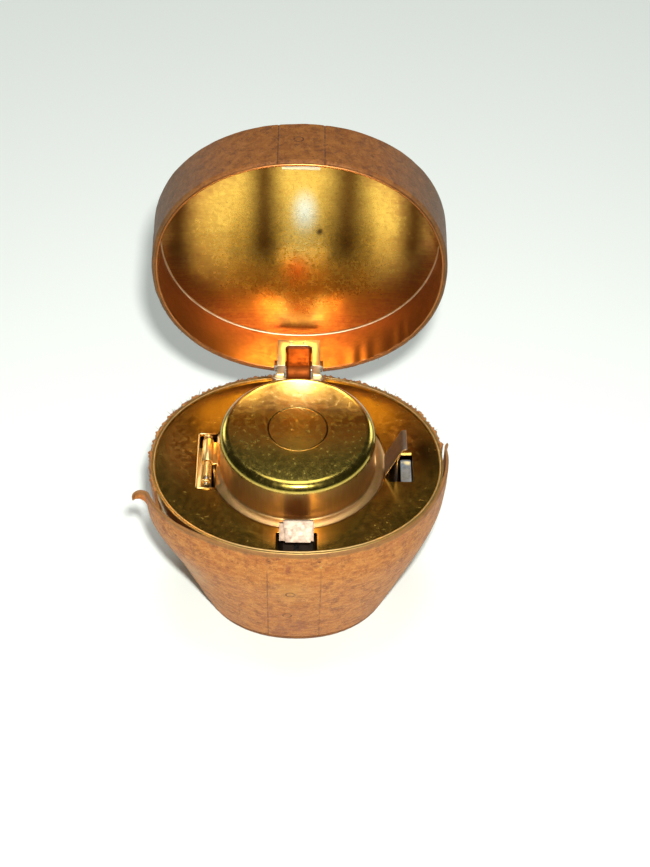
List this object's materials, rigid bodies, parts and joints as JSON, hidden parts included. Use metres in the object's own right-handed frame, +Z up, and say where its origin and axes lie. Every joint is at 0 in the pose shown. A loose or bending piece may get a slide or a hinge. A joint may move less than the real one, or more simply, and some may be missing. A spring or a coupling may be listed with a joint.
{
  "type": "travelling inkwell",
  "caption": "Oval leather-covered brass travelling inkwell shaped like a hat box, with a sprung hinged outer lid, a round sealing inner lid, push catches and a glass bottle.",
  "frame": {"origin": "centre of the underside, on the surface that the case stands on", "axes": "+Z up; -Y towards the front, where the release is; +X to the viewer's right; the lid's hinge is at +Y"},
  "size_m": [0.0692, 0.0818, 0.0986],
  "materials": {
    "box_brass": "dull, tarnished",
    "deck_brass": "polished once, now stained and scratched",
    "cap_brass": "spun and polished, worn to a copper tone on the wall",
    "lid_brass": "polished, stained towards the corners",
    "bright_brass": "bright where it rubs",
    "copper_spring": "smooth, reddish",
    "steel": "bright",
    "tan_leather": "worn, dry, frayed at the rim",
    "dark_leather": "worn, darkened by handling",
    "seal_leather": "soft, oiled",
    "felt": "matted",
    "wood": "plain, unfinished",
    "glass": "clear, thick"
  },
  "bodies": {
    "case": {"case_shell": "box_brass", "rim_band": "bright_brass", "leather_front": "tan_leather", "leather_back": "tan_leather", "base_leather": "dark_leather", "well_block": "wood", "deck_plate": "deck_brass", "well_cup": "box_brass", "bottle_cushion": "felt", "ink_bottle": "glass", "base_hinge_leaf": "bright_brass", "base_hinge_rivets": "bright_brass", "lid_hinge_pin": "steel", "lid_spring": "copper_spring", "inner_hinge_bracket": "bright_brass", "inner_hinge_rivets": "bright_brass", "inner_hinge_pin": "steel", "inner_hinge_spring": "bright_brass", "outer_catch_spring": "steel", "outer_catch_bracket": "box_brass", "outer_catch_rivets": "bright_brass", "inner_catch_spring": "steel", "inner_catch_bracket": "box_brass", "inner_catch_rivets": "bright_brass"},
    "outer_lid": {"lid_shell": "lid_brass", "lid_crown": "lid_brass", "lid_leather_band": "dark_leather", "lid_leather_top": "dark_leather", "lid_hinge_leaf": "bright_brass", "lid_hinge_rivets": "bright_brass", "lid_keeper": "bright_brass"},
    "inner_lid": {"inner_lid_cap": "cap_brass", "inner_lid_knuckle": "bright_brass", "seal_retainer": "box_brass", "seal_spring": "steel"},
    "seal": {"seal_plate": "box_brass", "seal_pad": "seal_leather"},
    "outer_catch": {"outer_catch_head": "bright_brass"},
    "inner_catch": {"inner_catch_head": "bright_brass"},
    "press": {"press_plate": "box_brass", "press_guide_pins": "steel", "press_pusher": "steel"}
  },
  "joints": [
    {"name": "outer_lid_hinge", "type": "hinge", "parent": "case", "child": "outer_lid", "pos_m": [0, 0.0283, 0.0424], "axis": [-1, 0, 0], "range_deg": [-100, 0], "stiffness_Nm_per_rad": 0.006, "springref_deg": 11.46, "deforming": ["lid_spring"]},
    {"name": "inner_lid_hinge", "type": "hinge", "parent": "case", "child": "inner_lid", "pos_m": [-0.0206, 0, 0.0412], "axis": [0, -1, 0], "range_deg": [0, 100], "deforming": ["inner_hinge_spring"]},
    {"name": "seal_slide", "type": "slide", "parent": "inner_lid", "child": "seal", "axis": [0, 0, 1], "range_m": [0, 0.0006], "stiffness_N_per_m": 200, "springref_m": -0.002, "deforming": ["seal_spring"]},
    {"name": "outer_catch_flex", "type": "hinge", "parent": "case", "child": "outer_catch", "pos_m": [0, -0.0221, 0.033], "axis": [-1, 0, 0], "range_deg": [0, 3], "stiffness_Nm_per_rad": 0.02, "springref_deg": -2.86},
    {"name": "inner_catch_flex", "type": "hinge", "parent": "case", "child": "inner_catch", "pos_m": [0.0227, -0.00135, 0.033], "axis": [0, 1, 0], "range_deg": [0, 5], "stiffness_Nm_per_rad": 0.02, "springref_deg": -2.86},
    {"name": "release_press", "type": "slide", "parent": "case", "child": "press", "axis": [0, 1, 0], "range_m": [0, 0.000241]}
  ],
  "couplings": [
    {"joint": "release_press", "follows": "outer_catch_flex", "m_per_rad": 0.0046}
  ]
}
